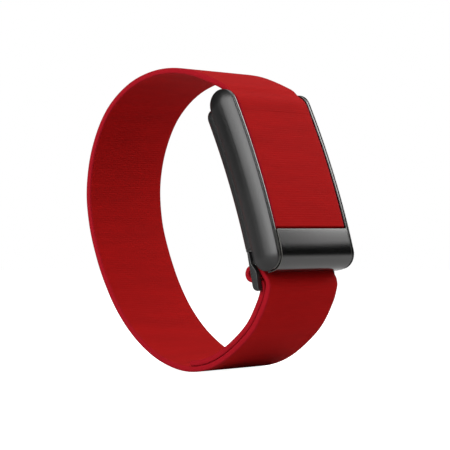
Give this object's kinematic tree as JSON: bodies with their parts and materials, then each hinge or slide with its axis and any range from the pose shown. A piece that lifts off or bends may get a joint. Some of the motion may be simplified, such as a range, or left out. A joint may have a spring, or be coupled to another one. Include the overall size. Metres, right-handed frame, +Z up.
{
  "type": "wrist activity tracker",
  "caption": "Screenless wrist-worn activity tracker: curved sensor pod under an elastic knit band with a hinged metal clasp and a slotted band adjuster.",
  "frame": {"origin": "under the middle of the closed loop, on the surface that the band stands on", "axes": "+X along the wrist, from the wearer's one side to the other; +Z up; the pod's face looks towards -Y and leans back 20.3 degrees"},
  "size_m": [0.0284, 0.0556, 0.0652],
  "materials": {
    "pod_plastic": "satin",
    "gunmetal": "satin",
    "adjuster_plastic": "satin",
    "band_knit": "fine ribbed knit",
    "window": "polished",
    "steel": "satin",
    "silicone": "matte",
    "circuit_board": "solder mask",
    "chip": "matte",
    "battery_foil": "satin",
    "led": "clear resin",
    "photodiode": "clear resin"
  },
  "bodies": {
    "pod": {"upper_housing": "pod_plastic", "lower_housing": "pod_plastic", "housing_seal": "silicone", "sensor_window": "window", "light_baffle": "silicone", "led_1": "led", "led_2": "led", "led_3": "led", "photodiode_1": "photodiode", "photodiode_2": "photodiode", "photodiode_3": "photodiode", "photodiode_4": "photodiode", "sensor_board": "circuit_board", "main_board": "circuit_board", "processor_chip": "chip", "radio_chip": "chip", "battery_cell": "battery_foil", "motor_can": "steel", "hinge_pin": "steel", "adjuster_pin": "steel", "detent_spring": "steel", "band_bridge": "band_knit", "band_loop": "band_knit", "band_return": "band_knit", "band_end_tab": "band_knit"},
    "clasp": {"clasp_frame": "gunmetal", "clasp_cover": "gunmetal", "band_anchor": "steel", "band_face_panel": "band_knit"},
    "adjuster": {"adjuster_frame": "adjuster_plastic", "adjuster_cross_bar": "steel", "band_turn": "band_knit"},
    "motor_rotor": {"motor_weight": "steel"}
  },
  "joints": [
    {"name": "clasp_hinge", "type": "hinge", "parent": "pod", "child": "clasp", "pos_m": [0, -0.01267, 0.0566], "axis": [-1, 0, 0], "range_deg": [0, 95], "deforming": ["band_bridge"]},
    {"name": "adjuster_hinge", "type": "hinge", "parent": "pod", "child": "adjuster", "pos_m": [0, -0.0206, 0.02465], "axis": [-1, 0, 0], "range_deg": [-8, 8], "deforming": ["band_turn", "band_return"]},
    {"name": "motor_spin", "type": "hinge", "parent": "pod", "child": "motor_rotor", "pos_m": [0.0058, -0.01365, 0.04773], "axis": [0, -0.9379, 0.3469], "continuous": true}
  ]
}
